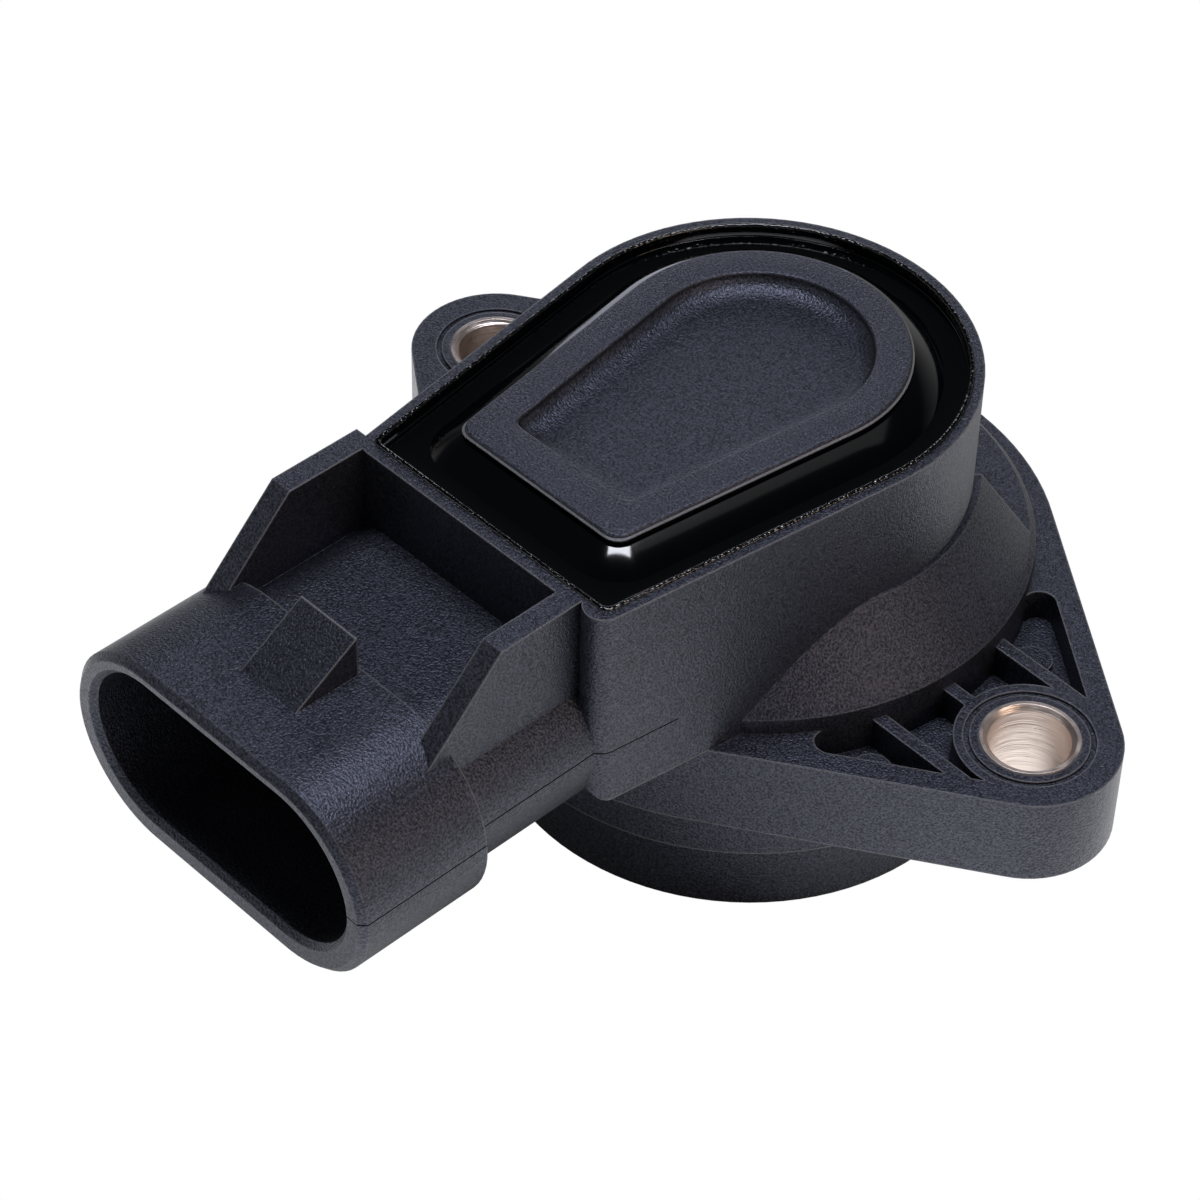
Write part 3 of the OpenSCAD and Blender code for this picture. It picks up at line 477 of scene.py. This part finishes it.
class SENSOR_OT_sealant(bpy.types.Operator):
    """Model the poured sealant that climbs at the rim and round the island"""

    bl_idname = "sensor.sealant"
    bl_label = "Sealant"

    def execute(self, context):
        scene = context.scene
        sizes = scene.sensor_sizes
        low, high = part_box("potting")
        rim, island = sizes.rim_t, sizes.island_inset
        climb_w, climb_h = 0.15 * MM, 0.6 * MM
        climb = [(rim, low[2])]
        climb += curve_between((rim, high[2] + climb_h), (rim + climb_w, high[2]), "in", 8)
        slope = []
        steps = 20
        for step in (i / steps for i in range(steps, -1, -1)):
            slope.append((island - sizes.slope_w * step, self.slope_height(sizes, high[2], step)))
        slope += [(island + sizes.groove_w, slope[-1][1]), (island + sizes.groove_w, low[2])]
        rows = [(a, a + sizes.rim_front_t - rim, sizes.rim_corner_r, z) for a, z in climb]
        rows += [(a, a + sizes.island_front - island, sizes.island_corner_r + island - a, z)
                 for a, z in slope]
        bm = bmesh.new()
        stack(bm, sizes, rows + rows[:1])
        make_object("poured_sealant", bm, wet_epoxy("potting_epoxy", scene.sensor_colours.sealant, 0.01),
                    CASE, "potting")
        self.make_bead(scene, sizes, high[2] + climb_h)
        return {"FINISHED"}

    def slope_height(self, sizes, level, step):
        """Gives what tells the height at any point of a row that is step, 0 to 1, of the way down the
        slope. level is the height of the flat sealant."""
        # The slope steepens away from the island
        steepening = 0.347
        fall = (1 - steepening) * step + steepening * step ** 2
        # On the left it creeps up over the island's edge with a round shoulder
        bend, bend_end = 0.404, 0.7
        shoulder = (1 + bend) * step - bend * (1 - (1 - min(step / bend_end, 1)) ** 2)
        plain = sizes.slope_h * (1 - fall)
        crept = (sizes.slope_h + sizes.creep_h) * (1 - shoulder)
        # The left begins between these places along X and along Y
        across, along = (4 * MM, -2 * MM), (-17 * MM, -9 * MM)

        def height(x, y):
            left = smooth_step(x, *across) * smooth_step(y, *along)
            return level + plain + (crept - plain) * left

        return height

    def make_bead(self, scene, sizes, low):
        """Where the sealant dried on the inner edge of the rim it left a thin lumpy bead."""
        rim, extra = sizes.rim_t, sizes.rim_front_t - sizes.rim_t
        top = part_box("cover")[1][2] - sizes.island_proud
        foot = low - 0.1 * MM
        r = sizes.bead_r
        rows = [(rim + r, foot)]
        rows += [(rim + r * math.cos(t), top + r * math.sin(t)) for t in (math.pi * i / 8 for i in range(9))]
        rows += [(rim - r, top - r), (rim + 0.2 * r, foot), rows[0]]
        bm = bmesh.new()
        stack(bm, sizes, [(a, a + extra, sizes.rim_corner_r, z) for a, z in rows])
        make_object("sealant_bead", bm, wet_epoxy("dried_epoxy", scene.sensor_colours.sealant, 0.5, 0.3),
                    CASE)


class SENSOR_OT_sleeves(bpy.types.Operator):
    """Finish the two turned sleeves in the ears"""

    bl_idname = "sensor.sleeves"
    bl_label = "Sleeves"

    def execute(self, context):
        material = turned_metal("turned_brass", context.scene.sensor_colours.brass, roughness=0.36,
                                ring_mm=0.25, strength=0.9)
        for node in ("bushing_left", "bushing_right"):
            dress(node, material)
        return {"FINISHED"}


class SENSOR_OT_contacts(bpy.types.Operator):
    """Finish the blades, the contact springs and the element board"""

    bl_idname = "sensor.contacts"
    bl_label = "Blades, contacts and board"

    def execute(self, context):
        colours = context.scene.sensor_colours
        tin = strip_metal("tinned_brass_strip", colours.tin, 0.3)
        bronze = strip_metal("spring_bronze_strip", colours.bronze, 0.28)
        for pole in ("supply", "signal", "ground"):
            dress("terminal_" + pole, tin)
            dress("contact_" + pole, bronze)
        dress("wiper", bronze)
        dress("element_board", coated_board("coated_laminate", colours.board, colours.track))
        return {"FINISHED"}


class SENSOR_OT_rotor(bpy.types.Operator):
    """Finish the rotor with its liner, springs, washers and seal"""

    bl_idname = "sensor.rotor"
    bl_label = "Rotor"

    def execute(self, context):
        colours = context.scene.sensor_colours
        dress("rotor", moulded_plastic("rotor_nylon", colours.plastic, grain_mm=0.2, edge_mm=0.1))
        steel = turned_metal("spring_steel", colours.steel, roughness=0.25, ring_mm=0.1, strength=0.3,
                             blotch=0.15)
        for node in ("return_spring", "preload_washer"):
            dress(node, steel)
        dress("drive_insert", strip_metal("stamped_steel", colours.steel, 0.3))
        dress("thrust_washer", soft_solid("natural_acetal", colours.acetal, 0.35, 0.6, 0.1))
        dress("hub_seal", soft_solid("nitrile_rubber", colours.rubber, 0.6, 0.15, 0.4))
        return {"FINISHED"}


class SENSOR_OT_stage(bpy.types.Operator):
    """Set the floor, the lights and the camera"""

    bl_idname = "sensor.stage"
    bl_label = "Floor, lights and camera"

    def execute(self, context):
        scene = context.scene
        self.make_floor(scene, CAD_BOX[0][2])
        self.make_world(scene)
        target = Vector((-6.634, -6.884, 0.0)) * MM
        across_view = math.radians(46.5)
        # Each lamp has its place and size in mm, its watts and its colour
        self.light(scene, "overhead", (-4, 24, 420), (260, 105), 1.5, "#F4F6FF", target, across_view)
        self.light(scene, "back_left", (-335, 295, 100), (235, 180), 0.26, "#E8ECFF", target)
        self.light(scene, "right", (400, 40, 165), (220, 120), 0.5, "#FFE0C8", target)
        self.light(scene, "back_right", (70, 250, 430), (160, 160), 0.02, "#FFFFFF", target)
        self.make_camera(scene, target)
        scene.view_settings.view_transform = "Standard"
        return {"FINISHED"}

    def make_floor(self, scene, height):
        """Lays the paper just under the sensor."""
        half_side, gap = 1.5, 0.02 * MM
        bm = bmesh.new()
        bmesh.ops.create_grid(bm, x_segments=1, y_segments=1, size=half_side)
        bmesh.ops.translate(bm, verts=bm.verts, vec=(0, 0, height - gap))
        mesh = bpy.data.meshes.new("floor")
        bm.to_mesh(mesh)
        bm.free()
        # Burnt out paper, in an oval of shade round the sensor that only reflections show
        made, tree = new_material("pale_paper")
        spot = add(tree, "ShaderNodeNewGeometry").outputs["Position"]
        oval = add(tree, "ShaderNodeVectorMath", {0: spot, 1: (1, 0.55, 0), 2: (6 * MM, 0, 0)},
                   operation="MULTIPLY_ADD").outputs[0]
        reach = add(tree, "ShaderNodeVectorMath", {0: oval}, operation="LENGTH").outputs["Value"]
        reach = add(tree, "ShaderNodeMath", {0: reach, 1: 100 * MM}, operation="DIVIDE").outputs[0]
        shade = ramp(tree, reach, [(0.2, 0.02), (0.38, 0.85), (0.65, 0.45), (1.0, 0.35)])
        # Painted light: the glow that reflections see is stronger in front and dimmer towards the back
        depth = add(tree, "ShaderNodeSeparateXYZ", {0: spot}).outputs[1]
        dim = add(tree, "ShaderNodeMapRange", {0: depth, 1: 30 * MM, 2: 90 * MM, 3: 2.1, 4: 0.9}).outputs[0]
        shade = add(tree, "ShaderNodeMath", {0: shade, 1: dim}, operation="MULTIPLY").outputs[0]
        seen = add(tree, "ShaderNodeLightPath").outputs["Is Camera Ray"]
        glow = add(tree, "ShaderNodeMix", {0: seen, 2: shade, 3: 1.0}).outputs[0]
        paper = add(tree, "ShaderNodeEmission", {"Color": rgba(scene.sensor_colours.floor), "Strength": glow})
        # See-through from below, so that the underside can be looked at
        clear = add(tree, "ShaderNodeBsdfTransparent")
        below = add(tree, "ShaderNodeNewGeometry").outputs["Backfacing"]
        sheet = add(tree, "ShaderNodeMixShader", {0: below, 1: paper.outputs[0], 2: clear.outputs[0]})
        add(tree, "ShaderNodeOutputMaterial", {"Surface": sheet.outputs[0]})
        mesh.materials.append(made)
        floor = bpy.data.objects.new("floor", mesh)
        scene.collection.objects.link(floor)

    def make_world(self, scene):
        """Sets the grey surroundings that the sensor mirrors."""
        world = bpy.data.worlds.new("studio")
        world.use_nodes = True
        tree = world.node_tree
        tree.nodes.clear()
        way = add(tree, "ShaderNodeTexCoord").outputs["Generated"]
        height = add(tree, "ShaderNodeSeparateXYZ", {0: way}).outputs[2]
        height = add(tree, "ShaderNodeMath", {0: height, 1: 0.5, 2: 0.5}, operation="MULTIPLY_ADD").outputs[0]
        # Bright up to a little above the horizon, which is at 0.5, and dark overhead
        shade = ramp(tree, height, [(0.0, 0.8), (0.60, 0.8), (0.74, 0.04), (1.0, 0.01)])
        # Darker towards the back
        back = add(tree, "ShaderNodeVectorMath", {0: way, 1: (0.5, 0.87, 0)},
                   operation="DOT_PRODUCT").outputs["Value"]
        dim = add(tree, "ShaderNodeMapRange", {0: back, 1: 0.35, 2: 0.85, 3: 1.0, 4: 0.35}).outputs[0]
        # A dark screen on the left, so that the front corner of the sealant stays dark
        left = add(tree, "ShaderNodeVectorMath", {0: way, 1: (-0.985, 0.17, 0)},
                   operation="DOT_PRODUCT").outputs["Value"]
        screen = add(tree, "ShaderNodeMapRange", {0: left, 1: 0.85, 2: 0.94, 3: 1.0, 4: 0.1}).outputs[0]
        strength = add(tree, "ShaderNodeMath", {0: dim, 1: screen}, operation="MULTIPLY").outputs[0]
        grey = add(tree, "ShaderNodeBackground", {"Color": shade, "Strength": strength})
        add(tree, "ShaderNodeOutputWorld", {"Surface": grey.outputs[0]})
        scene.world = world

    def light(self, scene, name, place, size, watts, code, target, level_turn=None):
        """Hangs a lamp that faces the target, or that hangs level and is turned about Z."""
        data = bpy.data.lights.new(name, "AREA")
        data.shape = "RECTANGLE"
        data.size, data.size_y = size[0] * MM, size[1] * MM
        data.energy = watts
        data.color = linear(code)
        lamp = bpy.data.objects.new(name, data)
        lamp.location = Vector(place) * MM
        lamp.rotation_euler = (target - lamp.location).to_track_quat("-Z", "Y").to_euler()
        if level_turn is not None:
            lamp.rotation_euler = (0, 0, level_turn)
        scene.collection.objects.link(lamp)

    def make_camera(self, scene, target):
        """Sets up the camera that was fitted to the photograph."""
        azimuth, elevation, roll = math.radians(46.54), math.radians(43.37), math.radians(1.6)
        distance, focal_px, sensor_mm = 262.66 * MM, 4000.2, 36.0
        back = Vector((math.sin(azimuth) * math.cos(elevation), -math.cos(azimuth) * math.cos(elevation),
                       math.sin(elevation)))
        right = Vector((math.cos(azimuth), math.sin(azimuth), 0.0))
        up = back.cross(right)
        turned_right = right * math.cos(roll) + up * math.sin(roll)
        turned_up = back.cross(turned_right)
        data = bpy.data.cameras.new("photo_camera")
        data.sensor_width = sensor_mm
        data.lens = focal_px / PHOTO_SIDE_PX * sensor_mm
        data.clip_start, data.clip_end = 0.01, 10.0
        camera = bpy.data.objects.new("photo_camera", data)
        axes = Matrix((turned_right, turned_up, back)).transposed().to_4x4()
        camera.matrix_world = Matrix.Translation(target + back * distance) @ axes
        scene.collection.objects.link(camera)
        scene.camera = camera


class SENSOR_PT_panel(bpy.types.Panel):
    """Lists the pieces of the sensor"""

    bl_idname = "SENSOR_PT_panel"
    bl_label = "Throttle Position Sensor"
    bl_space_type = "VIEW_3D"
    bl_region_type = "UI"
    bl_category = "Sensor"

    def draw(self, context):
        for piece in PIECES:
            self.layout.operator(piece.bl_idname)


PIECES = (SENSOR_OT_housing, SENSOR_OT_cover, SENSOR_OT_sealant, SENSOR_OT_sleeves, SENSOR_OT_contacts,
          SENSOR_OT_rotor, SENSOR_OT_stage)
CLASSES = (SensorSizes, SensorColours, *PIECES, SENSOR_PT_panel)


def register():
    for cls in CLASSES:
        bpy.utils.register_class(cls)
    bpy.types.Scene.sensor_sizes = bpy.props.PointerProperty(type=SensorSizes)
    bpy.types.Scene.sensor_colours = bpy.props.PointerProperty(type=SensorColours)


def unregister():
    del bpy.types.Scene.sensor_colours
    del bpy.types.Scene.sensor_sizes
    for cls in reversed(CLASSES):
        bpy.utils.unregister_class(cls)


def main():
    register()
    bpy.ops.sensor.stage()
    bpy.ops.sensor.housing()
    bpy.ops.sensor.cover()
    bpy.ops.sensor.sealant()
    bpy.ops.sensor.sleeves()
    bpy.ops.sensor.contacts()
    bpy.ops.sensor.rotor()


if __name__ == "__main__":
    main()
